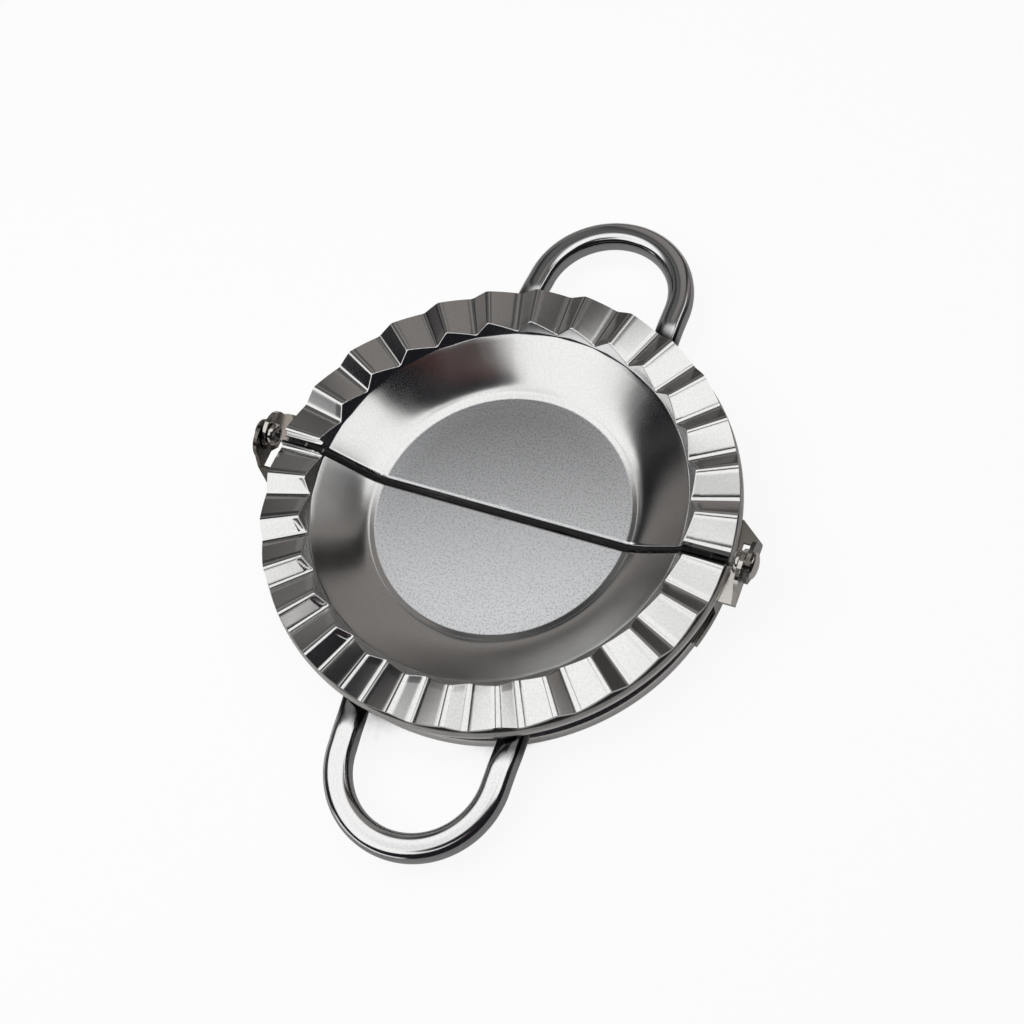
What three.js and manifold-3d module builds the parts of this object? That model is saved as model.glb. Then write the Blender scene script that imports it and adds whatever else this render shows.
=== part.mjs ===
// A stainless steel dumpling press, lying fully open with its bowls up.
// Two pleated half moulds sit on two half rings, each with a looped handle. The rings hinge
// together on two rivets, so the far half folds over the near one and their pleats mesh.
// X runs along the hinge, Y towards the far handle, Z up. Millimetres, with Z = 0 on the table.
import * as THREE from "three";
import { mergeVertices } from "three/addons/utils/BufferGeometryUtils.js";
import Module from "manifold-3d";

const wasm = await Module();
wasm.setup();

// Sheet, gaps and running clearances
const sheet = 0.8;
const seatGap = 0.3;
const splitGap = 0.9;
const closedGap = 0.5;
const sideClearance = 0.25;
const pivotClearance = 0.08;
const cutOverrun = 5;

// Pleated rim of the moulds
const rimRadius = 47.5;
const valleyWidth = 9.3;
const ridgeWidth = 8.0;
const pleatHeight = 1.87;
const pleatCount = 28;
const wideFacetShare = 0.67;
const bendRun = 0.35;

// Bowl
const bowlDepth = 6.8;
const discRadius = 26.2;
const discStepRise = 0.3;
const discStepRun = 0.6;
const kneeDrop = 1.1;
const wallBendShare = 0.22;
const wallSteps = 6;

// Ring under each mould: a cutting band, a recessed neck and a seat with a short lip
const seatHeight = 11.9;
const lipOverhang = 0.6;
const lipDrop = 1.4;
const neckInset = 2.9;
const bandInset = 1.1;
const bandHeight = 2.4;
const neckRise = 1.2;
const ringBend = 0.4;
const ringSegments = 96;

// Handles
const rodWidth = 5.4;
const rodHeight = 5.0;
const rodSides = 16;
const rodSquareness = 0.62;
const legHalfSpread = 17.0;
const loopRadius = 15.5;
const loopReach = 24.2;
const handleDrop = 0.9;
const joggleStart = 1.2;
const joggleRun = 4.4;
const rodSteps = 50;
const nearHandleDegrees = 5;
const farHandleDegrees = -3.5;

// Hinge ears
const earSheet = 0.8;
const earStandoff = 2.75;
const earRadius = 4.2;
const earOffset = 1.1;
const earArcDegrees = 205;
const earArcSteps = 20;
const innerTabFront = 7.0;
const earTabBack = 0.7;
const outerTabInside = 5.7;
const outerTabTip = 6.3;
const outerTabRoot = 10.2;
const strapFoot = 1.2;
const strapTop = 3.3;
const strapSheet = 0.55;
const strapEndDegrees = 17;
const innerRiserDegrees = [1.5, 8.5];
const outerRiserDegrees = [7, 13];
const strapSteps = 6;

// Rivets
const shankRadius = 1.5;
const headRadius = 2.6;
const headHeight = 1.1;
const tailRadius = 2.3;
const tailHeight = 1.1;
const rivetSegments = 28;
const domeSteps = 5;

// Levels and places that follow from the sizes above
const valleyLevel = seatHeight + seatGap + sheet;
const discLevel = valleyLevel - bowlDepth;
const hingeHeight = valleyLevel + (pleatHeight + closedGap) / 2;
const innerValleyRadius = rimRadius - valleyWidth;
const innerRidgeRadius = rimRadius - ridgeWidth;
const neckRadius = rimRadius - neckInset;
const bandRadius = rimRadius - bandInset;
const lipRadius = rimRadius + lipOverhang;
const lipBottom = seatHeight - lipDrop;
const neckBottom = bandHeight + neckRise;
const coveRadius = neckRadius + seatGap;
const tabTop = lipBottom - seatGap;
const tabBottom = tabTop - earSheet;
const innerEarFace = rimRadius + earStandoff;
const outerEarFace = innerEarFace + earSheet + sideClearance;

const { degToRad, lerp } = THREE.MathUtils;
const mergeShare = 1 / 1000;

// Solids and booleans

function facingOut(geometry) {
  const position = geometry.getAttribute("position");
  const index = geometry.getIndex().array;
  const corners = [new THREE.Vector3(), new THREE.Vector3(), new THREE.Vector3()];
  let volume = 0;
  for (let i = 0; i < index.length; i += 3) {
    corners.forEach((corner, k) => corner.fromBufferAttribute(position, index[i + k]));
    volume += corners[0].dot(corners[1].cross(corners[2]));
  }
  if (volume < 0) index.reverse();
  return geometry;
}

function toSolid(geometry) {
  const bare = geometry.clone();
  bare.deleteAttribute("normal");
  bare.deleteAttribute("uv");
  const merged = facingOut(mergeVertices(bare, sheet * mergeShare));
  const index = merged.getIndex().array;
  const kept = [];
  for (let i = 0; i < index.length; i += 3) {
    const [a, b, c] = index.slice(i, i + 3);
    if (a !== b && b !== c && c !== a) kept.push(a, b, c);
  }
  const vertProperties = new Float32Array(merged.getAttribute("position").array);
  return new wasm.Manifold(new wasm.Mesh({ numProp: 3, vertProperties, triVerts: new Uint32Array(kept) }));
}

function toGeometry(solid) {
  const mesh = solid.getMesh();
  const geometry = new THREE.BufferGeometry();
  geometry.setAttribute("position", new THREE.BufferAttribute(new Float32Array(mesh.vertProperties), 3));
  geometry.setIndex(new THREE.BufferAttribute(new Uint32Array(mesh.triVerts), 1));
  return geometry;
}

// The half that lies beyond the hinge line, with half the split gap left free
function farHalf(solid) {
  const size = 2 * (rimRadius + cutOverrun);
  const block = new THREE.BoxGeometry(size, size, size);
  block.translate(0, size / 2 + splitGap / 2, 0);
  return solid.intersect(toSolid(block));
}

// What is fixed to the ring's neck is coved out to sit on it
function seatOnNeck(solid) {
  const cove = new THREE.CylinderGeometry(coveRadius, coveRadius, 2 * seatHeight, ringSegments);
  cove.rotateX(Math.PI / 2);
  cove.translate(0, 0, seatHeight / 2);
  return solid.subtract(toSolid(cove));
}

// Pleated half mould

// The mould's section, in radius and height, at a valley (lift 0) or on a ridge (lift 1)
function mouldSection(lift) {
  const lipSlope = pleatHeight / (innerRidgeRadius - innerValleyRadius);
  const lipAngle = Math.atan(lipSlope);
  const crownRadius = lerp(innerValleyRadius, innerRidgeRadius, lift);
  const crownLevel = valleyLevel + lift * pleatHeight;
  const knee = new THREE.Vector2(innerValleyRadius - kneeDrop / lipSlope, valleyLevel - kneeDrop);
  const foot = new THREE.Vector2(discRadius + discStepRun, discLevel + discStepRise);
  const bend = new THREE.Vector2(lerp(foot.x, knee.x, wallBendShare), foot.y);
  const wall = new THREE.QuadraticBezierCurve(foot, bend, knee);
  const inside = wall.getPoints(wallSteps);
  const outside = inside.map((point, i) => {
    const tangent = wall.getTangent(i / wallSteps);
    return new THREE.Vector2(point.x + sheet * tangent.y, point.y - sheet * tangent.x);
  });
  return [
    new THREE.Vector2(0, discLevel),
    new THREE.Vector2(discRadius, discLevel),
    ...inside,
    new THREE.Vector2(crownRadius - bendRun * Math.cos(lipAngle), crownLevel - bendRun * Math.sin(lipAngle)),
    new THREE.Vector2(crownRadius + bendRun, crownLevel),
    new THREE.Vector2(rimRadius, crownLevel),
    new THREE.Vector2(rimRadius, crownLevel - sheet),
    new THREE.Vector2(crownRadius + sheet * Math.tan(lipAngle / 2), crownLevel - sheet),
    ...outside.reverse(),
    new THREE.Vector2(discRadius, discLevel - sheet),
    new THREE.Vector2(0, discLevel - sheet),
  ];
}

// Each pleat is a wide facet that climbs anticlockwise and a narrow one that drops back, with
// both bends rounded. The hinge line runs through the middle of a narrow facet.
function pleatBends() {
  const pitch = (2 * Math.PI) / pleatCount;
  const wide = wideFacetShare * pitch;
  const narrow = pitch - wide;
  const round = bendRun / rimRadius;
  const bends = [];
  for (let i = 0; i < pleatCount; i += 1) {
    const valley = i * pitch + narrow / 2;
    const ridge = valley + wide;
    bends.push({ angle: valley - round, lift: round / narrow });
    bends.push({ angle: valley + round, lift: round / wide });
    bends.push({ angle: (valley + ridge) / 2, lift: 1 / 2 });
    bends.push({ angle: ridge - round, lift: 1 - round / wide });
    bends.push({ angle: ridge + round, lift: 1 - round / narrow });
  }
  return bends;
}

// The section is turned once round, then each of its copies is set at a bend and lifted
function mould() {
  const valley = mouldSection(0);
  const ridge = mouldSection(1);
  const bends = pleatBends();
  const turned = new THREE.LatheGeometry(valley, bends.length);
  const position = turned.getAttribute("position");
  for (let i = 0; i <= bends.length; i += 1) {
    const { angle, lift } = bends[i % bends.length];
    valley.forEach((low, j) => {
      const point = low.clone().lerp(ridge[j], lift);
      position.setXYZ(i * valley.length + j, point.x * Math.cos(angle), point.x * Math.sin(angle), point.y);
    });
  }
  return toGeometry(farHalf(toSolid(turned)));
}

// Half ring that carries the mould, with the cutting edge at its foot
function ring() {
  const outside = [
    [bandRadius - ringBend, 0],
    [bandRadius, ringBend],
    [bandRadius, bandHeight],
    [neckRadius, neckBottom],
    [neckRadius, seatHeight - sheet - ringBend],
    [neckRadius + ringBend, seatHeight - sheet],
    [lipRadius - sheet, seatHeight - sheet],
    [lipRadius - sheet, lipBottom],
    [lipRadius, lipBottom],
    [lipRadius, seatHeight - ringBend],
    [lipRadius - ringBend, seatHeight],
  ];
  const inside = [
    [neckRadius - sheet + ringBend, seatHeight],
    [neckRadius - sheet, seatHeight - ringBend],
    [neckRadius - sheet, neckBottom - ringBend],
    [bandRadius - sheet, bandHeight - ringBend],
    [bandRadius - sheet, 0],
  ];
  const profile = [...outside, ...inside, outside[0]].map(([r, z]) => new THREE.Vector2(r, z));
  const turned = new THREE.LatheGeometry(profile, ringSegments);
  turned.rotateX(Math.PI / 2);
  return toGeometry(farHalf(toSolid(turned)));
}

// Handle: one rod bent into a loop. Its legs step down under the lip and end on the ring's neck.

// The rod's centre line over a share of its length, as two legs joined by half a circle
class HandleLine extends THREE.Curve {
  getPoint(share, target = new THREE.Vector3()) {
    const start = coveRadius / 2;
    const loopCentre = rimRadius + loopReach - rodWidth / 2 - loopRadius;
    const leg = loopCentre - start;
    const arc = Math.PI * loopRadius;
    const run = share * (2 * leg + arc);
    const side = run < leg + arc / 2 ? 1 : -1;
    const along = side > 0 ? run : 2 * leg + arc - run;
    const turn = Math.max(along - leg, 0) / loopRadius;
    const y = Math.min(start + along, loopCentre) + loopRadius * Math.sin(turn);
    const spread = lerp(legHalfSpread, loopRadius, THREE.MathUtils.clamp((y - start) / leg, 0, 1));
    const rise = THREE.MathUtils.smoothstep(y, rimRadius - joggleStart, rimRadius - joggleStart + joggleRun);
    const root = neckBottom + seatGap + rodHeight / 2;
    const free = tabTop - handleDrop - rodHeight / 2;
    return target.set(side * spread * Math.cos(turn), y, lerp(root, free, rise));
  }
}

// A flattened round section, drawn height first because the path carries it on its side
function rodSection() {
  const flatten = (value) => Math.sign(value) * Math.abs(value) ** rodSquareness;
  const points = Array.from({ length: rodSides }, (unused, i) => {
    const angle = (2 * Math.PI * (i + 1 / 2)) / rodSides;
    return new THREE.Vector2(
      (flatten(Math.sin(angle)) * rodHeight) / 2,
      (flatten(Math.cos(angle)) * rodWidth) / 2,
    );
  });
  return new THREE.Shape(points);
}

function handle() {
  const rod = new THREE.ExtrudeGeometry(rodSection(), { steps: rodSteps, extrudePath: new HandleLine() });
  return toGeometry(seatOnNeck(toSolid(rod)));
}

// Hinge ears: a tab under the lip turns up into a plate for the rivet and down into a strap

// The upright plate is drawn in Y and Z. Its round head is set back from the rivet towards its
// own half and the tab it stands on.
function earPlate(front, face) {
  const side = Math.sign(front);
  const hole = new THREE.Path();
  hole.absarc(0, hingeHeight, shankRadius + pivotClearance, 0, 2 * Math.PI);
  const outline = [new THREE.Vector2(-side * earTabBack, tabBottom), new THREE.Vector2(front, tabBottom)];
  outline.push(new THREE.Vector2(front, tabTop));
  for (let i = 0; i <= earArcSteps; i += 1) {
    const angle = (degToRad(earArcDegrees) * i) / earArcSteps;
    const y = side * (earOffset + earRadius * Math.cos(angle));
    outline.push(new THREE.Vector2(y, hingeHeight - earOffset + earRadius * Math.sin(angle)));
  }
  const shape = new THREE.Shape(outline);
  shape.holes.push(hole);
  const plate = new THREE.ExtrudeGeometry(shape, { depth: earSheet, bevelEnabled: false });
  plate.rotateY(Math.PI / 2);
  plate.rotateX(Math.PI / 2);
  plate.translate(face, 0, 0);
  return toSolid(plate);
}

function earTab(corners) {
  const shape = new THREE.Shape(corners.map(([x, y]) => new THREE.Vector2(x, y)));
  const tab = new THREE.ExtrudeGeometry(shape, { depth: earSheet, bevelEnabled: false });
  tab.translate(0, 0, tabBottom);
  return toSolid(tab);
}

// A curved plate that follows the outside of the band between two azimuths
function bandPlate(from, to, top) {
  const inner = bandRadius + seatGap;
  const shape = new THREE.Shape();
  shape.absarc(0, 0, inner + strapSheet, degToRad(from), degToRad(to), false);
  shape.absarc(0, 0, inner, degToRad(to), degToRad(from), true);
  const depth = top - strapFoot;
  const curved = new THREE.ExtrudeGeometry(shape, { depth, curveSegments: strapSteps, bevelEnabled: false });
  curved.translate(0, 0, strapFoot);
  return toSolid(curved);
}

function ear(plate, tab, side, riser) {
  const [from, to] = riser;
  const span = (a, b) => (side > 0 ? [a, b] : [-b, -a]);
  const riserPlate = bandPlate(...span(from, to), tabTop);
  const strap = bandPlate(...span(from, strapEndDegrees), strapTop);
  return toGeometry(seatOnNeck(plate.add(tab).add(riserPlate).add(strap)));
}

// The near side's ear at the right: its plate is the inner one of the pair
function innerEar() {
  const outside = innerEarFace + earSheet;
  const inside = coveRadius - cutOverrun;
  const tab = earTab([
    [inside, -innerTabFront],
    [outside, -innerTabFront],
    [outside, -earTabBack],
    [inside, -earTabBack],
  ]);
  return ear(earPlate(-innerTabFront, innerEarFace), tab, -1, innerRiserDegrees);
}

// The far side's ear at the right: its plate runs outside the near one, clear of its sweep
function outerEar() {
  const outside = outerEarFace + earSheet;
  const inside = coveRadius - cutOverrun;
  const clearOfInner = innerEarFace - 2 * sideClearance - tailHeight;
  const tab = earTab([
    [inside, earTabBack],
    [clearOfInner, earTabBack],
    [clearOfInner, outerTabInside],
    [outside, outerTabInside],
    [outside, outerTabTip],
    [bandRadius + seatGap + strapSheet, outerTabRoot],
    [inside, outerTabRoot],
  ]);
  return ear(earPlate(outerTabTip, outerEarFace), tab, 1, outerRiserDegrees);
}

// Rivet along X: domed head outside, shank through both ears, upset tail inside
function rivet() {
  const tailFace = innerEarFace - sideClearance;
  const headFace = outerEarFace + earSheet + sideClearance;
  const profile = [
    new THREE.Vector2(0, tailFace - tailHeight),
    new THREE.Vector2(tailRadius - bendRun, tailFace - tailHeight),
    new THREE.Vector2(tailRadius, tailFace - tailHeight + bendRun),
    new THREE.Vector2(tailRadius, tailFace),
    new THREE.Vector2(shankRadius, tailFace),
    new THREE.Vector2(shankRadius, headFace),
  ];
  for (let i = 0; i < domeSteps; i += 1) {
    const angle = (Math.PI / 2) * (i / domeSteps);
    profile.push(new THREE.Vector2(headRadius * Math.cos(angle), headFace + headHeight * Math.sin(angle)));
  }
  profile.push(new THREE.Vector2(0, headFace + headHeight));
  const turned = new THREE.LatheGeometry(profile, rivetSegments);
  turned.rotateZ(-Math.PI / 2);
  turned.translate(0, 0, hingeHeight);
  return toGeometry(toSolid(turned));
}

// Finishes
const brushed = { color: 0xc4c5c7, metalness: 1, roughness: 0.32 };
const polished = { color: 0xcfd0d2, metalness: 1, roughness: 0.16 };
const pressed = { color: 0xb6b3b0, metalness: 1, roughness: 0.28 };

function piece(name, geometry, finish, turn) {
  const mesh = new THREE.Mesh(geometry, new THREE.MeshStandardMaterial(finish));
  mesh.name = name;
  mesh.rotation.z = turn;
  return mesh;
}

// Assembly: both halves are the same pressings, turned half a circle about the upright axis
const halfTurn = Math.PI;
const mouldShape = mould();
const ringShape = ring();
const handleShape = handle();
const innerEarShape = innerEar();
const outerEarShape = outerEar();
const rivetShape = rivet();

const farHalfPress = new THREE.Group();
farHalfPress.add(
  piece("far_mould", mouldShape, brushed, 0),
  piece("far_ring", ringShape, polished, 0),
  piece("far_handle", handleShape, polished, degToRad(farHandleDegrees)),
  piece("far_ear_right", outerEarShape, pressed, 0),
  piece("far_ear_left", innerEarShape, pressed, halfTurn),
);

const nearHalfPress = new THREE.Group();
nearHalfPress.add(
  piece("near_mould", mouldShape.clone(), brushed, halfTurn),
  piece("near_ring", ringShape.clone(), polished, halfTurn),
  piece("near_handle", handleShape.clone(), polished, halfTurn + degToRad(nearHandleDegrees)),
  piece("near_ear_right", innerEarShape.clone(), pressed, 0),
  piece("near_ear_left", outerEarShape.clone(), pressed, halfTurn),
  piece("right_rivet", rivetShape, polished, 0),
  piece("left_rivet", rivetShape.clone(), polished, halfTurn),
);

const dumplingPress = new THREE.Group();
dumplingPress.add(nearHalfPress, farHalfPress);

export default dumplingPress;
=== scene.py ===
"""Looks for the dumpling press: steel finishes, a soft overhead light and the photograph's view."""
import math

import bmesh
import bpy
from mathutils import Matrix, Vector


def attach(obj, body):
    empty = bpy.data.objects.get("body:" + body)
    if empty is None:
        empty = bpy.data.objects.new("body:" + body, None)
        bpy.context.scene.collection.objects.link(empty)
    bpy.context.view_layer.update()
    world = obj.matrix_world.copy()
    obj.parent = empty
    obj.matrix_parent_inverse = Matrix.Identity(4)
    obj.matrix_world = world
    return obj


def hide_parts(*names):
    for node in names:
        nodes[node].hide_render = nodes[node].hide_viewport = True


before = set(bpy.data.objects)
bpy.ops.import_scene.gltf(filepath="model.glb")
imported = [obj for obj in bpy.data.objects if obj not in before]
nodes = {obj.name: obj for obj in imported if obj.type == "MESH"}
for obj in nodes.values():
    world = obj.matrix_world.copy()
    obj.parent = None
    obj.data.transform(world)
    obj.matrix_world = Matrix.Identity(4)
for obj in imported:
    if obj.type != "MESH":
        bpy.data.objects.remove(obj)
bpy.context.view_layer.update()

MM = 0.001


def mm(*values):
    """Millimetres as metres."""
    return [value * MM for value in values]


# Sizes of the press: lengths in millimetres as in the solids, and angles in degrees

SHEET = 0.8
SEAT_GAP = 0.3
SPLIT_GAP = 0.9
MOULD_SPLIT = 1.1
RIM_RADIUS = 47.5
RIM_LEVEL = 13.0
VALLEY_WIDTH = 9.3
RIDGE_WIDTH = 8.0
PLEAT_HEIGHT = 1.87
PLEAT_COUNT = 28
WIDE_SHARE = 0.67
BOWL_DEPTH = 6.8
DISC_RADIUS = 26.2
SEAT_HEIGHT = 11.9
LIP_RADIUS = 48.1
LIP_BOTTOM = 10.5
NECK_RADIUS = 44.6
NECK_BOTTOM = 3.6
BAND_RADIUS = 46.4
BAND_HEIGHT = 2.4
VALLEY_LEVEL = SEAT_HEIGHT + SEAT_GAP + SHEET
DISC_LEVEL = VALLEY_LEVEL - BOWL_DEPTH
HINGE_HEIGHT = 14.185

# Nodes

BLACK = (0.0, 0.0, 0.0, 1.0)
WHITE = (1.0, 1.0, 1.0, 1.0)


class Tree:
    """Short calls for making nodes and links in one node tree."""

    def __init__(self, tree):
        self.tree = tree
        self.nodes = tree.nodes
        self.nodes.clear()

    def add(self, kind, **settings):
        """A new node with its settings and the values of its inputs."""
        node = self.nodes.new(kind)
        inputs = settings.pop("inputs", {})
        for name, value in settings.items():
            setattr(node, name, value)
        for name, value in inputs.items():
            self.put(value, node.inputs[name])
        return node

    def put(self, value, socket):
        """Links a socket to an input, or sets the input to a plain value."""
        if isinstance(value, bpy.types.NodeSocket):
            self.tree.links.new(value, socket)
        else:
            socket.default_value = value

    def math(self, operation, *values, clamp=False):
        """The result of a sum on plain numbers."""
        node = self.add("ShaderNodeMath", operation=operation, use_clamp=clamp)
        for i, value in enumerate(values):
            self.put(value, node.inputs[i])
        return node.outputs[0]

    def product(self, first, *others):
        """All values multiplied together."""
        for other in others:
            first = self.math("MULTIPLY", first, other)
        return first

    def less(self, share, amount):
        """One, less an amount times a share."""
        return self.math("SUBTRACT", 1.0, self.math("MULTIPLY", share, amount))

    def vector(self, operation, *values):
        """The result of a sum on vectors."""
        node = self.add("ShaderNodeVectorMath", operation=operation)
        for i, value in enumerate(values):
            self.put(value, node.inputs[i])
        return node.outputs["Value" if operation in ("DOT_PRODUCT", "LENGTH") else 0]

    def ramp(self, value, low, high, start=0.0, end=1.0):
        """A smooth step from start to end as the value goes from low to high."""
        node = self.add("ShaderNodeMapRange", interpolation_type="SMOOTHSTEP")
        self.put(value, node.inputs["Value"])
        self.put(low, node.inputs["From Min"])
        self.put(high, node.inputs["From Max"])
        self.put(start, node.inputs["To Min"])
        self.put(end, node.inputs["To Max"])
        return node.outputs["Result"]

    def close_to(self, value, middle, none, full):
        """One where a value is close to a middle, falling to nothing further off."""
        return self.ramp(self.math("ABSOLUTE", self.math("SUBTRACT", value, middle)), none, full)

    def mix(self, share, first, second):
        """A colour between two."""
        node = self.add("ShaderNodeMix", data_type="RGBA")
        self.put(share, node.inputs["Factor"])
        self.put(first, node.inputs["A"])
        self.put(second, node.inputs["B"])
        return node.outputs["Result"]

    def noise(self, place, scale, detail=2.0, roughness=0.5):
        """Smooth noise from 0 to 1."""
        inputs = {"Vector": place, "Scale": scale, "Detail": detail, "Roughness": roughness}
        return self.add("ShaderNodeTexNoise", inputs=inputs).outputs["Fac"]

    def place(self):
        """Where a point of the object is."""
        return self.add("ShaderNodeTexCoord").outputs["Object"]

    def height(self, place):
        """How high a place is."""
        return self.add("ShaderNodeSeparateXYZ", inputs={0: place}).outputs["Z"]

    def from_axis(self, place):
        """How far a place is from the upright axis."""
        return self.vector("LENGTH", self.vector("MULTIPLY", place, (1.0, 1.0, 0.0)))

    def finish(self, shader, kind="ShaderNodeOutputMaterial"):
        """Sends a shader to the tree's output."""
        self.put(shader, self.add(kind).inputs["Surface"])


# Camera, as fitted to the pleats and the disc

CAMERA_TURN = (-20.38, -20.25, -22.87)
CAMERA_OFFSET = Vector((-0.072, 0.061, -6.020)) * RIM_RADIUS * MM
CAMERA_FOCAL_PIXELS = 1462.9
IMAGE_PIXELS = 1024
SENSOR = 36.0
CLIP_START = 0.01
CLIP_END = 20.0


def make_camera():
    """The photograph's view, turned and offset from the middle of the rim."""
    turn_x, turn_y, turn_z = (math.radians(angle) for angle in CAMERA_TURN)
    to_camera = Matrix.Rotation(turn_z, 3, "Z") @ Matrix.Rotation(turn_x, 3, "X")
    to_camera = to_camera @ Matrix.Rotation(turn_y, 3, "Y")
    to_world = to_camera.transposed()
    rim_centre = Vector((0.0, 0.0, RIM_LEVEL * MM))
    data = bpy.data.cameras.new("camera")
    data.sensor_width = SENSOR
    data.lens = CAMERA_FOCAL_PIXELS / IMAGE_PIXELS * SENSOR
    data.clip_start = CLIP_START
    data.clip_end = CLIP_END
    camera = bpy.data.objects.new("camera", data)
    camera.matrix_world = Matrix.Translation(rim_centre - to_world @ CAMERA_OFFSET) @ to_world.to_4x4()
    bpy.context.scene.collection.objects.link(camera)
    bpy.context.scene.camera = camera


# Steel

SMEAR_SCALE = 60.0
SMEAR_DETAIL = 3.0
SMEAR_SHINE = (0.85, 1.2)
GRAIN_SCALE = 2600.0
GRAIN_ROUGHNESS = 0.6
GRAIN_SPREAD = 0.04
GRAIN_LEVEL = 0.96
NOISE_BAND = (0.3, 0.7)
WAVE_SCALE = 70.0
WAVE_DETAIL = 1.0
WAVE_HEIGHT = 0.052
WAVE_STRENGTH = 0.5
WAVE_DISTANCE = 0.1 * MM
DISC_EDGE = 0.3 * MM
WORN_ROUGHNESS = 0.3
WORN_METAL_LOSS = 0.75


def steel(name, colour, roughness, painted_shade=None, disc=None, wear=None):
    """Steel with grain and smears. A painted shade mask darkens it, wear makes it matt, and disc is a matt
    middle.
    """
    material = bpy.data.materials.new(name)
    material.use_nodes = True
    tree = Tree(material.node_tree)
    place = tree.place()
    smears = tree.noise(place, SMEAR_SCALE, detail=SMEAR_DETAIL)
    grain = tree.noise(place, GRAIN_SCALE, roughness=GRAIN_ROUGHNESS)
    shine = tree.ramp(smears, *NOISE_BAND, *(roughness * share for share in SMEAR_SHINE))
    tint = colour
    ripple = WAVE_HEIGHT
    spread = GRAIN_SPREAD
    if disc:
        inside = tree.ramp(tree.from_axis(place), disc["radius"] + DISC_EDGE, disc["radius"] - DISC_EDGE)
        outside = tree.math("SUBTRACT", 1.0, inside)
        matt = tree.math("MULTIPLY", inside, disc["roughness"])
        shine = tree.math("ADD", tree.math("MULTIPLY", shine, outside), matt)
        tint = tree.mix(inside, colour, disc["colour"])
        spread = tree.math("ADD", tree.math("MULTIPLY", inside, disc["spread"]), spread)
        ripple = tree.math("MULTIPLY", outside, ripple)
    metal = 1.0
    if wear:
        worn = wear(tree, place)
        shine = tree.math("ADD", shine, tree.math("MULTIPLY", worn, WORN_ROUGHNESS))
        metal = tree.less(worn, WORN_METAL_LOSS)
    speck = tree.math("MULTIPLY", tree.ramp(grain, *NOISE_BAND, -1.0, 1.0), spread)
    level = tree.math("ADD", speck, GRAIN_LEVEL)
    # Painted shade: the mask darkens the colour where the steel lies in shade.
    if painted_shade:
        level = tree.math("MULTIPLY", level, painted_shade(tree, place))
    waves = tree.noise(place, WAVE_SCALE, detail=WAVE_DETAIL)
    relief = tree.add("ShaderNodeBump", inputs={"Strength": WAVE_STRENGTH, "Distance": WAVE_DISTANCE})
    tree.put(tree.math("MULTIPLY", waves, ripple), relief.inputs["Height"])
    shader = tree.add("ShaderNodeBsdfPrincipled")
    tree.put(metal, shader.inputs["Metallic"])
    tree.put(tree.mix(level, BLACK, tint), shader.inputs["Base Color"])
    tree.put(shine, shader.inputs["Roughness"])
    tree.put(relief.outputs["Normal"], shader.inputs["Normal"])
    tree.finish(shader.outputs["BSDF"])
    return material


# Painted shade and wear on the steel: where each one starts or ends, and how strong it is

CUT_END = mm(0.56, 0.66)
CUT_NEAR_SIDE = mm(0.1, -0.1)
CUT_NEAR_EXTRA = 0.42 * MM
CUT_LEVEL = 0.05
STUB_END = mm(1.8, 1.6)
STUB_START = mm(38.0, 39.0)
STUB_STRENGTH = 0.9
RECESS_LOW = mm(3.2, 4.0)
RECESS_HIGH = mm(10.6, 10.3)
RECESS_STRENGTH = 0.92
RIM_GAP_RADIUS = mm(47.65, 47.35)
RIM_GAP_HEIGHT = mm(11.0, 11.3)
RIM_GAP_STRENGTH = 0.85
LIP_TOP = mm(11.1, 11.4)
# Painted shade at the roots of the handle rod, and a painted dark reflection along its sides
ROOT_SHADE_END = mm(49.5, 52.5)
ROOT_SHADE_LEVEL = 0.15
SIDE_LOW = mm(5.2, 5.8)
SIDE_HIGH = mm(8.7, 8.4)
SIDE_STRENGTH = 0.55


def mould_painted_shade(tree, place):
    """Painted shade on the cut ends beside the split, wider on the near half, and on the stubs of pleat at
    its right end.
    """
    axes = tree.add("ShaderNodeSeparateXYZ", inputs={0: place})
    off = tree.math("ABSOLUTE", axes.outputs["Y"])
    extra = tree.ramp(axes.outputs["Y"], *CUT_NEAR_SIDE, 0.0, CUT_NEAR_EXTRA)
    cut = tree.ramp(tree.math("SUBTRACT", off, extra), *CUT_END, CUT_LEVEL)
    stub = tree.math("MULTIPLY", tree.ramp(off, *STUB_END), tree.ramp(axes.outputs["X"], *STUB_START))
    return tree.math("MULTIPLY", cut, tree.less(stub, STUB_STRENGTH))


def ring_painted_shade(tree, place):
    """Painted shade in the recess of the neck, and a painted shadow on the ring under the mould's rim."""
    up = tree.height(place)
    recess = tree.math("MULTIPLY", tree.ramp(up, *RECESS_LOW), tree.ramp(up, *RECESS_HIGH))
    under = tree.ramp(tree.from_axis(place), *RIM_GAP_RADIUS)
    gap = tree.math("MULTIPLY", under, tree.ramp(up, *RIM_GAP_HEIGHT))
    return tree.math("MULTIPLY", tree.less(recess, RECESS_STRENGTH), tree.less(gap, RIM_GAP_STRENGTH))


def lip_wear(tree, place):
    """How matt the ring is on top of its lip."""
    return tree.ramp(tree.height(place), *LIP_TOP)


def handle_painted_shade(tree, place):
    """Painted shade at the roots of the rod beside the ring, and a painted dark reflection in a band along
    its sides.
    """
    up = tree.height(place)
    root_shade = tree.ramp(tree.from_axis(place), *ROOT_SHADE_END, ROOT_SHADE_LEVEL)
    side = tree.math("MULTIPLY", tree.ramp(up, *SIDE_LOW), tree.ramp(up, *SIDE_HIGH))
    return tree.math("MULTIPLY", root_shade, tree.less(side, SIDE_STRENGTH))


# Sheet metal

CORNER_SHARE = 0.45
CORNER_STEPS = 5
WELD_DISTANCE = 0.002
SLIVER_LENGTH = 0.0005
SHARP_ANGLE = 35.0
FIRST_COLUMN_GAP = 0.02


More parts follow.
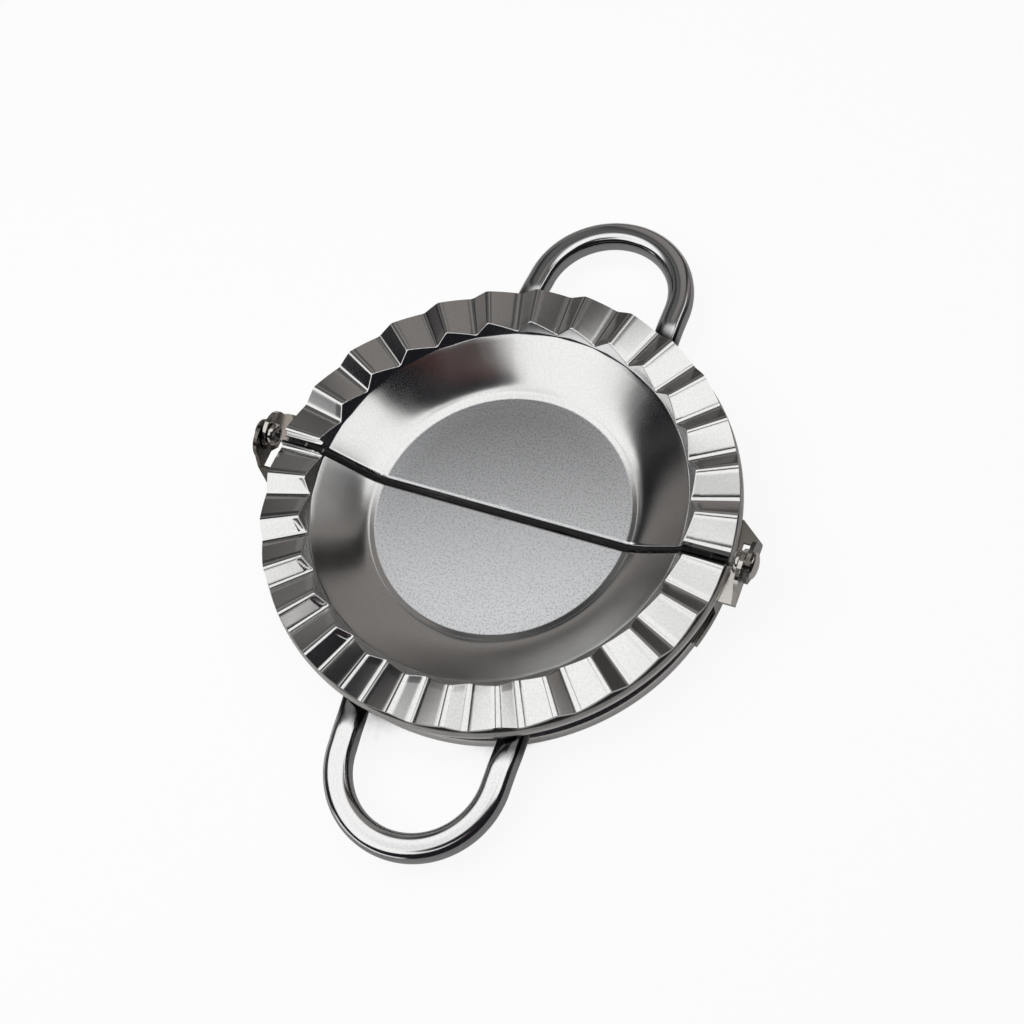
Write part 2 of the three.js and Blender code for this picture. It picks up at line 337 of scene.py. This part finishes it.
def soften(points, radii):
    """A polyline whose corners are rounded where radii gives one, with the same count for any shape."""
    out = [points[0]]
    for i in range(1, len(points) - 1):
        here = points[i]
        radius = radii.get(i)
        if not radius:
            out.append(here)
            continue
        back = points[i - 1] - here
        ahead = points[i + 1] - here
        turn = math.pi - back.angle(ahead)
        longest = CORNER_SHARE * min(back.length, ahead.length)
        reach = min(radius * math.tan(turn / 2), longest)
        start = here + back.normalized() * reach
        end = here + ahead.normalized() * reach
        for k in range(CORNER_STEPS + 1):
            share = k / CORNER_STEPS
            out.append(start.lerp(here, share).lerp(here.lerp(end, share), share))
    out.append(points[-1])
    return out


def thicken(path, left, right):
    """Both sides of a sheet that follows a polyline, offset to its left and right."""
    sides = ([], [])
    for i, here in enumerate(path):
        along = (path[min(i + 1, len(path) - 1)] - path[max(i - 1, 0)]).normalized()
        across = Vector((-along.y, along.x))
        sides[0].append(here + across * left)
        sides[1].append(here - across * right)
    return sides


def swept_half(columns, sections, gap=SPLIT_GAP, margins=(), drop=None):
    """Half a turned sheet, from paired sides at each column and at set margins from the split."""
    inner = gap / 2 + (margins[-1] + FIRST_COLUMN_GAP if margins else 0.0)
    series = [(gap / 2 + margin, None, sections[0]) for margin in margins]
    series += [(inner, angle, section) for angle, section in zip(columns, sections)]
    series += [(-gap / 2 - margin, None, sections[-1]) for margin in reversed(margins)]
    points = []
    count = len(sections[0][0])
    for limit, angle, (upper, lower) in series:
        for point in upper + lower:
            edge = math.asin(min(1.0, abs(limit) / point.x))
            if angle is None:
                turn = edge if limit > 0 else math.pi - edge
            else:
                turn = min(max(angle, edge), math.pi - edge)
            y = point.x * math.sin(turn)
            fall = drop(y - gap / 2, point.x) if drop else 0.0
            points.append((point.x * math.cos(turn), y, point.y - fall))
    faces = []
    size = 2 * count
    order = list(range(count)) + list(range(size - 1, count - 1, -1))
    for j in range(len(series) - 1):
        for a, b in zip(order, order[1:] + order[:1]):
            faces.append((j * size + a, j * size + b, (j + 1) * size + b, (j + 1) * size + a))
    for j in (0, len(series) - 1):
        for k in range(count - 1):
            start = j * size + k
            faces.append((start, start + 1, start + 1 + count, start + count))
    return points, faces


def tube_faces(rings, sides):
    """The faces between rings of points that follow each other."""
    faces = []
    for i in range(rings - 1):
        for k in range(sides):
            n = (k + 1) % sides
            faces.append((i * sides + k, i * sides + n, (i + 1) * sides + n, (i + 1) * sides + k))
    return faces


def build(name, points, faces, turn):
    """A mesh object from points in millimetres, turned about the upright axis by an angle in degrees."""
    mesh = bpy.data.meshes.new(name)
    spin = Matrix.Rotation(math.radians(turn), 3, "Z")
    mesh.from_pydata([spin @ Vector(point) * MM for point in points], [], faces)
    work = bmesh.new()
    work.from_mesh(mesh)
    bmesh.ops.remove_doubles(work, verts=work.verts, dist=WELD_DISTANCE * MM)
    bmesh.ops.dissolve_degenerate(work, edges=work.edges, dist=SLIVER_LENGTH * MM)
    bmesh.ops.recalc_face_normals(work, faces=work.faces)
    work.to_mesh(mesh)
    work.free()
    mesh.shade_smooth()
    mesh.set_sharp_from_angle(angle=math.radians(SHARP_ANGLE))
    piece = bpy.data.objects.new(name, mesh)
    bpy.context.scene.collection.objects.link(piece)
    return piece


# Mould: the pleated rim, the wall and the disc

STEP_RISE = 0.3
STEP_RUN = 1.0
STEP_ROUNDING = 1.6
DISC_STEPS = 6
FIRST_DISC_STEP = 0.5
KNEE_DROP = 0.35
KNEE_ROUNDING = 2.5
CROWN_ROUNDING = 0.9
CROWN_STATIONS = (0.45, 0.95, 1.45, 1.75)
WALL_BEND_SHARE = 0.14
WALL_STEPS = 16
# How far the sheet drops at each distance from the split, where its edge is rolled down
ROLL = [(0.0, 0.45), (0.03, 0.3), (0.09, 0.18), (0.2, 0.09), (0.4, 0.025), (0.7, 0.0)]
ROLL_END = 41.0
ROLL_FADE = 3.0
SPLIT_LIFT = 0.5
QUARTERS = (0.25, 0.5, 0.75)
BEND_REACH = 0.5
BEND_STEPS = 3
CREASE_INSET = 0.85
CREASE_HALF = 0.15
CREASE_DEPTH = 0.036
CREASE_STEPS = 2
SLOT_DEPTH = 0.17
SLOT_STATION = -4
SLOT_SHARE = 0.3
SLOT_FADE = 0.4
SLOT_LAST_ANGLE = 72.0


def roll_drop(distance, radius):
    """The drop of the rolled edge at a distance from the split. It ends before the pleats."""
    drop = 0.0
    for (near, high), (far, low) in zip(ROLL, ROLL[1:]):
        if near <= distance <= far:
            drop = high + (low - high) * (distance - near) / (far - near)
    return drop * min(max((ROLL_END - radius) / ROLL_FADE, 0.0), 1.0)


def bowl_path(lift):
    """The top side of the mould's section, in radius and height, from the middle to the rim."""
    slope = PLEAT_HEIGHT / (VALLEY_WIDTH - RIDGE_WIDTH)
    valley = RIM_RADIUS - VALLEY_WIDTH
    crown = Vector((valley + lift * (VALLEY_WIDTH - RIDGE_WIDTH), VALLEY_LEVEL + lift * PLEAT_HEIGHT))
    knee = Vector((valley - KNEE_DROP / slope, VALLEY_LEVEL - KNEE_DROP))
    foot = Vector((DISC_RADIUS + STEP_RUN, DISC_LEVEL + STEP_RISE))
    bend = Vector((foot.x + WALL_BEND_SHARE * (knee.x - foot.x), foot.y))
    points = [Vector((MOULD_SPLIT / 2 + distance, DISC_LEVEL)) for distance, drop in ROLL]
    for step in (FIRST_DISC_STEP, *range(1, DISC_STEPS + 1)):
        points.append(Vector((DISC_RADIUS * step / DISC_STEPS, DISC_LEVEL)))
    edge = len(points) - 1
    for k in range(WALL_STEPS + 1):
        share = k / WALL_STEPS
        points.append(foot.lerp(bend, share).lerp(bend.lerp(knee, share), share))
    points.append(crown)
    turn = len(points) - 1
    points += [crown + Vector((distance, 0)) for distance in CROWN_STATIONS]
    points.append(Vector((RIM_RADIUS, crown.y)))
    rounding = {edge: STEP_ROUNDING, edge + 1: STEP_ROUNDING, turn - 1: KNEE_ROUNDING, turn: CROWN_ROUNDING}
    return soften(points, rounding)


def pleat_columns():
    """The azimuth and lift of each column over half a turn, with rounded bends and fine creases."""
    pitch = 2 * math.pi / PLEAT_COUNT
    wide = WIDE_SHARE * pitch
    narrow = pitch - wide
    reach = BEND_REACH / RIM_RADIUS
    change = 1 / wide + 1 / narrow
    columns = {0.0: SPLIT_LIFT, math.pi: SPLIT_LIFT}
    for i in range(-1, PLEAT_COUNT // 2 + 1):
        valley = i * pitch + narrow / 2
        ridge = valley + wide
        for k in range(-BEND_STEPS, BEND_STEPS + 1):
            step = k / BEND_STEPS * reach
            rest = (step + reach) ** 2 / (4 * reach)
            columns[valley + step] = -step / narrow + change * rest
            columns[ridge + step] = 1 + step / wide - change * rest
        for share in QUARTERS:
            columns[valley + share * wide] = share
            columns[ridge + share * narrow] = 1 - share
        for middle in (valley + CREASE_INSET / RIM_RADIUS, ridge - CREASE_INSET / RIM_RADIUS):
            for k in range(-CREASE_STEPS, CREASE_STEPS + 1):
                angle = middle + k / CREASE_STEPS * CREASE_HALF / RIM_RADIUS
                dent = CREASE_DEPTH / PLEAT_HEIGHT * (1 - abs(k) / CREASE_STEPS)
                columns[angle] = (angle - valley) / wide - dent
    return sorted((angle, lift) for angle, lift in columns.items() if 0 <= angle <= math.pi)


def mould_mesh():
    """Half of the rim and the bowl, with a slot at the inner end of the first narrow facets."""
    valley = thicken(bowl_path(0), 0, SHEET)
    ridge = thicken(bowl_path(1), 0, SHEET)
    columns = pleat_columns()
    sections = []
    pitch = 2 * math.pi / PLEAT_COUNT
    half_slot = (1 - WIDE_SHARE) * pitch * SLOT_SHARE
    for angle, lift in columns:
        sides = []
        off = abs((angle + pitch / 2) % pitch - pitch / 2)
        depth = (half_slot * (1 + SLOT_FADE) - off) / (half_slot * SLOT_FADE)
        slot = SLOT_DEPTH * min(max(depth, 0.0), 1.0)
        if angle > math.radians(SLOT_LAST_ANGLE):
            slot = 0.0
        for low, high in zip(valley, ridge):
            side = [a.lerp(b, lift) for a, b in zip(low, high)]
            side[SLOT_STATION] = side[SLOT_STATION] - Vector((0, slot))
            sides.append(side)
        sections.append(sides)
    margins = [distance for distance, drop in ROLL]
    return swept_half([angle for angle, lift in columns], sections, MOULD_SPLIT, margins, roll_drop)


# Ring

RING_STEPS = 120
BAND_ROUNDING = 0.8
LIP_ROUNDING = 0.4


def ring_mesh():
    """Half of the bent sheet under the mould: band, neck and lip."""
    half = SHEET / 2
    corners = [
        (BAND_RADIUS - half, 0),
        (BAND_RADIUS - half, BAND_HEIGHT),
        (NECK_RADIUS - half, NECK_BOTTOM),
        (NECK_RADIUS - half, SEAT_HEIGHT - half),
        (LIP_RADIUS - half, SEAT_HEIGHT - half),
        (LIP_RADIUS - half, LIP_BOTTOM),
    ]
    rounding = {1: BAND_ROUNDING, 2: BAND_ROUNDING, 3: BAND_ROUNDING, 4: LIP_ROUNDING}
    path = soften([Vector(corner) for corner in corners], rounding)
    sides = thicken(path, half, half)
    columns = [math.pi * k / RING_STEPS for k in range(RING_STEPS + 1)]
    return swept_half(columns, [sides] * len(columns))


# Handle: a rod that starts inside the band and rises to its free level outside the rim

ROD_WIDTH = 5.4
ROD_HEIGHT = 5.0
ROD_CORNER = 0.74
ROD_SIDES = 36
LEG_SPREAD = 17.0
LEG_STEPS = 14
LOOP_RADIUS = 15.5
LOOP_REACH = 24.13
LOOP_STEPS = 56
COVE_RADIUS = NECK_RADIUS + SEAT_GAP
ROOT_START = 43.4
ROOT_LEVEL = NECK_BOTTOM + SEAT_GAP + ROD_HEIGHT / 2
FREE_DROP = 0.9
FREE_LEVEL = LIP_BOTTOM - SEAT_GAP - FREE_DROP - ROD_HEIGHT / 2
RISE_START = 1.2
RISE_RUN = 4.4


def rod_section():
    """The rod's rounded square section, across and up from its centre line."""
    section = []
    for k in range(ROD_SIDES):
        turn = 2 * math.pi * (k + 0.5) / ROD_SIDES
        across = math.copysign(abs(math.cos(turn)) ** ROD_CORNER, math.cos(turn)) * ROD_WIDTH / 2
        up = math.copysign(abs(math.sin(turn)) ** ROD_CORNER, math.sin(turn)) * ROD_HEIGHT / 2
        section.append((across, up))
    return section


def handle_mesh():
    """One rod bent into a loop: two legs from the neck, joined by half a circle."""
    centre = RIM_RADIUS + LOOP_REACH - ROD_WIDTH / 2 - LOOP_RADIUS
    start = COVE_RADIUS / 2
    leg = centre - start
    stations = []
    for k in range(LEG_STEPS):
        y = ROOT_START + (centre - ROOT_START) * k / LEG_STEPS
        stations.append((LEG_SPREAD + (LOOP_RADIUS - LEG_SPREAD) * (y - start) / leg, y))
    for k in range(LOOP_STEPS // 2 + 1):
        turn = math.pi * k / LOOP_STEPS
        stations.append((LOOP_RADIUS * math.cos(turn), centre + LOOP_RADIUS * math.sin(turn)))
    stations = stations + [(-x, y) for x, y in stations[-2::-1]]
    section = rod_section()
    points = []
    last = len(stations) - 1
    for i in range(-1, last + 2):
        x, y = stations[min(max(i, 0), last)]
        before = Vector(stations[min(max(i - 1, 0), last - 1)])
        after = Vector(stations[min(max(i + 1, 1), last)])
        along = (after - before).normalized()
        out = Vector((along.y, -along.x))
        rise = min(max((y - RIM_RADIUS + RISE_START) / RISE_RUN, 0.0), 1.0)
        rise = rise * rise * (3 - 2 * rise)
        level = ROOT_LEVEL + (FREE_LEVEL - ROOT_LEVEL) * rise
        for across, up in section:
            px = x + out.x * across
            py = y + out.y * across
            if i in (-1, last + 1):
                py = math.sqrt(COVE_RADIUS ** 2 - px * px)
            points.append((px, py, level + up))
    rings = last + 3
    faces = tube_faces(rings, ROD_SIDES)
    faces.append(tuple(range(ROD_SIDES)))
    faces.append(tuple((rings - 1) * ROD_SIDES + k for k in range(ROD_SIDES)))
    return points, faces


# Rivet

TAIL_PLACE = 50.0
# Radius of each point of the rolled tail, and its place along the hinge from where the shank starts
TAIL_ROLL = [
    (0.0, -0.45), (0.75, -0.45), (1.0, -0.7), (1.25, -1.02), (1.5, -1.1),
    (1.85, -1.05), (2.15, -0.8), (2.3, -0.42), (2.3, -0.12), (2.2, 0.0),
]
SHANK_RADIUS = 1.5
HEAD_PLACE = 52.35
HEAD_RADIUS = 2.6
HEAD_FOOT = 2.5
HEAD_EDGE = 0.12
HEAD_DOME = 0.98
HEAD_STEPS = 8
RIVET_SIDES = 40


def rivet_mesh():
    """A turned rivet along X: domed head outside, shank, and a hollow rolled tail inside."""
    profile = [(radius, TAIL_PLACE + step) for radius, step in TAIL_ROLL]
    profile += [(SHANK_RADIUS, TAIL_PLACE), (SHANK_RADIUS, HEAD_PLACE), (HEAD_FOOT, HEAD_PLACE)]
    for k in range(HEAD_STEPS + 1):
        turn = math.pi / 2 * k / HEAD_STEPS
        profile.append((HEAD_RADIUS * math.cos(turn), HEAD_PLACE + HEAD_EDGE + HEAD_DOME * math.sin(turn)))
    points = []
    for radius, place in profile:
        for k in range(RIVET_SIDES):
            turn = 2 * math.pi * k / RIVET_SIDES
            points.append((place, radius * math.cos(turn), HINGE_HEIGHT + radius * math.sin(turn)))
    return points, tube_faces(len(profile), RIVET_SIDES)


# Pieces: finer meshes in place of their nodes, and the ears as they are in the solids

BEVEL_SEGMENTS = 3
BEVEL_ANGLE = 50.0
MOULD_BEVEL = 0.16
RING_BEVEL = 0.12
EAR_BEVEL = 0.12
EAR_BEVEL_ANGLE = 30.0
HANDLE_TURNS = {"near": 185.0, "far": -3.5}


def soft_edges(piece, width, angle):
    """Rounds a piece's sharp edges."""
    modifier = piece.modifiers.new("rounded_edges", "BEVEL")
    modifier.width = width * MM
    modifier.segments = BEVEL_SEGMENTS
    modifier.limit_method = "ANGLE"
    modifier.angle_limit = math.radians(angle)
    modifier.harden_normals = True


def stand_in(shape, node, body, material, turn, bevel=0.0):
    """A finer piece that takes the place of a node on its body."""
    points, faces = shape
    piece = build(node + "_fine", points, faces, turn)
    piece.data.materials.append(material)
    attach(piece, body)
    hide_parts(node)
    if bevel:
        soft_edges(piece, bevel, BEVEL_ANGLE)


matt_disc = {
    "radius": DISC_RADIUS * MM,
    "colour": (0.655, 0.665, 0.685, 1.0),
    "roughness": 0.26,
    "spread": 0.21,
}
mould_steel = steel(
    "mould_steel", (0.78, 0.78, 0.78, 1.0), roughness=0.14, painted_shade=mould_painted_shade, disc=matt_disc
)
ring_steel = steel("ring_steel", (0.86, 0.84, 0.82, 1.0), roughness=0.22, painted_shade=ring_painted_shade, wear=lip_wear)
handle_steel = steel("handle_steel", (0.80, 0.80, 0.81, 1.0), roughness=0.12, painted_shade=handle_painted_shade)
ear_steel = steel("ear_steel", (0.62, 0.59, 0.56, 1.0), roughness=0.16)
# A darker copy of the ear steel: painted shade for the ear plates that lie in shade
ear_shade_steel = steel("ear_shade_steel", (0.19, 0.175, 0.16, 1.0), roughness=0.2)
rivet_steel = steel("rivet_steel", (0.64, 0.60, 0.57, 1.0), roughness=0.14)

mould_shape = mould_mesh()
ring_shape = ring_mesh()
handle_shape = handle_mesh()
rivet_shape = rivet_mesh()
for side, turn in (("near", 180.0), ("far", 0.0)):
    body = side + "_half"
    stand_in(mould_shape, side + "_mould", body, mould_steel, turn, MOULD_BEVEL)
    stand_in(ring_shape, side + "_ring", body, ring_steel, turn, RING_BEVEL)
    stand_in(handle_shape, side + "_handle", body, handle_steel, HANDLE_TURNS[side])
for side, turn in (("left", 180.0), ("right", 0.0)):
    stand_in(rivet_shape, side + "_rivet", "near_half", rivet_steel, turn)
# Two ears take the darker copy as painted shade, the other two the lit ear steel
ear_steels = {
    "near_ear_left": ear_shade_steel,
    "far_ear_right": ear_shade_steel,
    "near_ear_right": ear_steel,
    "far_ear_left": ear_steel,
}
for name, finish in ear_steels.items():
    ear = nodes[name]
    ear.data.materials.clear()
    ear.data.materials.append(finish)
    weld = ear.modifiers.new("weld", "WELD")
    weld.merge_threshold = WELD_DISTANCE * MM
    soft_edges(ear, EAR_BEVEL, EAR_BEVEL_ANGLE)

# Light: a wide soft box overhead, with its edges and dark places in shares of its height

BOX_TURN = 21.8
BOX_HEIGHT = 0.38
BOX_SPAN = 4.6
BOX_LIGHT = 1.15
BOX_COLOUR = (1.0, 0.995, 0.98, 1.0)
LEFT_EDGE = (-1.36, -1.1)
RIGHT_EDGE = (1.35, 1.1)
FAR_EDGE = (0.64, 0.38)
NEAR_EDGE = (-0.86, -0.7)
FAR_EDGE_STEP = (-0.15, 0.35, 0.0, 0.15)
FAR_EDGE_CORNER = (0.9, 1.05, 0.0, 0.4)
SLANT = (0.625, 0.78)
SLANT_EDGE = (0.66, 0.56)
# Each oval has a middle, radii, and the step of light from inside to outside
DARK_OVALS = [
    ((0.18, -0.39), (0.50, 0.205), (0.85, 1.1)),
    ((-0.03, -0.46), (0.26, 0.17), (0.8, 1.1)),
    ((0.76, 0.55), (0.17, 0.46), (0.7, 1.2)),
]
DIM_OVALS = [
    ((0.06, -0.1), (0.17, 0.17), (0.2, 1.0, 0.66, 1.0)),
    ((-0.28, -0.08), (0.25, 0.25), (0.2, 1.1, 0.82, 1.0)),
]


def stage_plane(name, half, corners):
    """A flat square of the stage with its own material. The order of its corners says where it faces."""
    square = [(-half, -half, 0), (half, -half, 0), (half, half, 0), (-half, half, 0)]
    mesh = bpy.data.meshes.new(name)
    mesh.from_pydata(square, [], [corners])
    material = bpy.data.materials.new(name)
    material.use_nodes = True
    mesh.materials.append(material)
    plane = bpy.data.objects.new(name, mesh)
    bpy.context.scene.collection.objects.link(plane)
    return plane


def oval(tree, across, along, middle, radii):
    """How far a place is from an oval's middle, as a share of its radii."""
    wide = tree.math("DIVIDE", tree.math("SUBTRACT", across, middle[0]), radii[0])
    deep = tree.math("DIVIDE", tree.math("SUBTRACT", along, middle[1]), radii[1])
    squares = tree.math("ADD", tree.math("MULTIPLY", wide, wide), tree.math("MULTIPLY", deep, deep))
    return tree.math("SQRT", squares)


def light_box():
    """A plane overhead that glows in a soft rectangle, with the dark places that the photo mirrors."""
    box = stage_plane("light_box", BOX_SPAN * BOX_HEIGHT / 2, (3, 2, 1, 0))
    box.location = (0, 0, BOX_HEIGHT)
    box.rotation_euler = (0, 0, math.radians(BOX_TURN))
    box.visible_camera = False
    box.visible_shadow = False
    tree = Tree(box.active_material.node_tree)
    axes = tree.add("ShaderNodeSeparateXYZ", inputs={0: tree.place()})
    across = tree.math("DIVIDE", axes.outputs["X"], BOX_HEIGHT)
    along = tree.math("DIVIDE", axes.outputs["Y"], BOX_HEIGHT)
    reach = tree.math("ADD", along, tree.ramp(across, *FAR_EDGE_STEP))
    reach = tree.math("SUBTRACT", reach, tree.ramp(across, *FAR_EDGE_CORNER))
    slant = tree.math("MULTIPLY", across, SLANT[0])
    slant = tree.math("SUBTRACT", slant, tree.math("MULTIPLY", along, SLANT[1]))
    sides = tree.product(tree.ramp(across, *LEFT_EDGE), tree.ramp(across, *RIGHT_EDGE))
    ends = tree.product(tree.ramp(reach, *FAR_EDGE), tree.ramp(along, *NEAR_EDGE))
    glow = tree.product(sides, ends, tree.ramp(slant, *SLANT_EDGE))
    for middle, radii, fade in DARK_OVALS:
        glow = tree.product(glow, tree.ramp(oval(tree, across, along, middle, radii), *fade))
    strength = BOX_LIGHT
    for middle, radii, fade in DIM_OVALS:
        strength = tree.product(strength, tree.ramp(oval(tree, across, along, middle, radii), *fade))
    light = tree.add("ShaderNodeEmission", inputs={"Color": BOX_COLOUR, "Strength": strength})
    empty = tree.add("ShaderNodeBsdfTransparent")
    share = tree.add("ShaderNodeMixShader", inputs={0: glow, 1: empty.outputs[0], 2: light.outputs[0]})
    tree.finish(share.outputs[0])


# Room: greys by direction, in the light box's axes

# Three numbers say where the middle of a patch is, how far off it ends, and how far off it is still full
FRONT_BLACK = (0.013, 0.013, 0.016, 1.0)
FRONT_RED = (0.06, 0.028, 0.025, 1.0)
RED_ALONG = (-0.5, 0.07, 0.02)
RED_ACROSS = (0.1, 0.5, 0.2)
BACK_GREY = (0.24, 0.225, 0.215, 1.0)
BACK_START = (0.1, 0.6)
STRIPE_DARK = (0.035, 0.036, 0.038, 1.0)
STRIPE_LIGHT = (0.13, 0.128, 0.125, 1.0)
STRIPE_PACE = 0.26
STRIPE_BAND = (-0.6, 0.9)
STRIPES_BEARING = (116.0, 27.0, 20.0)
STRIPES_RISE = (0.43, 0.5)
LEFT_BLACK = (0.012, 0.012, 0.014, 1.0)
LEFT_BEARING = (148.0, 20.0, 12.0)
LEFT_RISE = (0.46, 0.15, 0.06)
RIGHT_BLACK = (0.018, 0.018, 0.018, 1.0)
RIGHT_BEARING = (49.0, 9.0, 3.0)
RIGHT_RISE = (0.25, 0.4)
RIGHT_TOP = (0.65, 0.85, 1.0, 0.5)
DIM_GREY = (0.05, 0.047, 0.045, 1.0)
DIM_BEARING = (62.0, 20.0, 12.0)
DIM_TOP = (0.362, 0.338)
DIM_SLOPE = 0.01
LOW_FRONT = (0.014, 0.013, 0.017, 1.0)
LOW_BACK = (0.055, 0.051, 0.048, 1.0)
LOW_START = (-0.25, 0.1)
LOW_TOP = (0.05, 0.34)
WINDOW_BEARING = (-142.0, 34.0, 26.0)
WINDOW_TOP = (0.26, 0.16)


def room():
    """The world: a dim room that is darker beside the light box, and white to the camera."""
    world = bpy.data.worlds.new("room")
    bpy.context.scene.world = world
    world.use_nodes = True
    tree = Tree(world.node_tree)
    direction = tree.add("ShaderNodeTexCoord").outputs["Generated"]
    turn = math.radians(BOX_TURN)
    across = tree.vector("DOT_PRODUCT", direction, (math.cos(turn), math.sin(turn), 0.0))
    along = tree.vector("DOT_PRODUCT", direction, (-math.sin(turn), math.cos(turn), 0.0))
    upward = tree.vector("DOT_PRODUCT", direction, (0.0, 0.0, 1.0))
    bearing = tree.math("DEGREES", tree.math("ARCTAN2", along, across))

    red = tree.product(tree.close_to(along, *RED_ALONG), tree.close_to(across, *RED_ACROSS))
    front = tree.mix(red, FRONT_BLACK, FRONT_RED)
    around = tree.mix(tree.ramp(along, *BACK_START), front, BACK_GREY)

    wave = tree.math("SINE", tree.math("MULTIPLY", bearing, STRIPE_PACE))
    stripes = tree.mix(tree.ramp(wave, *STRIPE_BAND), STRIPE_DARK, STRIPE_LIGHT)
    striped = tree.product(tree.close_to(bearing, *STRIPES_BEARING), tree.ramp(upward, *STRIPES_RISE))
    around = tree.mix(striped, around, stripes)

    left = tree.product(tree.close_to(bearing, *LEFT_BEARING), tree.close_to(upward, *LEFT_RISE))
    around = tree.mix(left, around, LEFT_BLACK)
    right = tree.product(tree.close_to(bearing, *RIGHT_BEARING), tree.ramp(upward, *RIGHT_RISE))
    around = tree.mix(tree.product(right, tree.ramp(upward, *RIGHT_TOP)), around, RIGHT_BLACK)

    tilt = tree.math("MULTIPLY", tree.math("SUBTRACT", bearing, DIM_BEARING[0]), DIM_SLOPE)
    dim_top = tree.ramp(tree.math("ADD", upward, tilt), *DIM_TOP)
    around = tree.mix(tree.product(tree.close_to(bearing, *DIM_BEARING), dim_top), around, DIM_GREY)

    low = tree.mix(tree.ramp(along, *LOW_START), LOW_FRONT, LOW_BACK)
    around = tree.mix(tree.ramp(upward, *LOW_TOP), low, around)
    window = tree.product(tree.close_to(bearing, *WINDOW_BEARING), tree.ramp(upward, *WINDOW_TOP))
    around = tree.mix(window, around, WHITE)

    seen = tree.add("ShaderNodeLightPath").outputs["Is Camera Ray"]
    background = tree.add("ShaderNodeBackground", inputs={"Color": tree.mix(seen, around, WHITE)})
    tree.finish(background.outputs[0], "ShaderNodeOutputWorld")


# Floor

FLOOR_HALF = 3.0
FLOOR_SEEN_GREY = (0.18, 0.18, 0.18, 1.0)
FLOOR_SEEN_GLOW = 0.9
FLOOR_MIRRORED_GREY = (0.8, 0.8, 0.8, 1.0)
FLOOR_MIRRORED_GLOW = 0.12
FLOOR_FADE = (0.12, 0.4, 1.0, 0.2)
SHADOW_REACH = 0.03
SHADOW_SAMPLES = 32
SHADOW_BAND = (0.22, 0.32)


def floor():
    """A pale table that renders almost white, keeps the press's shadow and fades in reflections."""
    table = stage_plane("floor", FLOOR_HALF, (0, 1, 2, 3))
    tree = Tree(table.active_material.node_tree)
    seen = tree.add("ShaderNodeLightPath").outputs["Is Camera Ray"]
    close = tree.ramp(tree.vector("LENGTH", tree.place()), *FLOOR_FADE)
    mirrored = tree.mix(close, BLACK, FLOOR_MIRRORED_GREY)
    paint = tree.add("ShaderNodeBsdfDiffuse", inputs={"Color": tree.mix(seen, mirrored, FLOOR_SEEN_GREY)})
    cover = tree.add("ShaderNodeAmbientOcclusion", samples=SHADOW_SAMPLES)
    tree.put(SHADOW_REACH, cover.inputs["Distance"])
    open_floor = tree.ramp(cover.outputs["AO"], *SHADOW_BAND, 0.0, FLOOR_SEEN_GLOW)
    unseen = tree.product(tree.math("SUBTRACT", close, seen, clamp=True), FLOOR_MIRRORED_GLOW)
    strength = tree.math("ADD", tree.product(seen, open_floor), unseen)
    glow = tree.add("ShaderNodeEmission", inputs={"Color": WHITE, "Strength": strength})
    both = tree.add("ShaderNodeAddShader", inputs={0: paint.outputs[0], 1: glow.outputs[0]})
    tree.finish(both.outputs[0])


make_camera()
light_box()
room()
floor()
bpy.context.scene.view_settings.view_transform = "Standard"
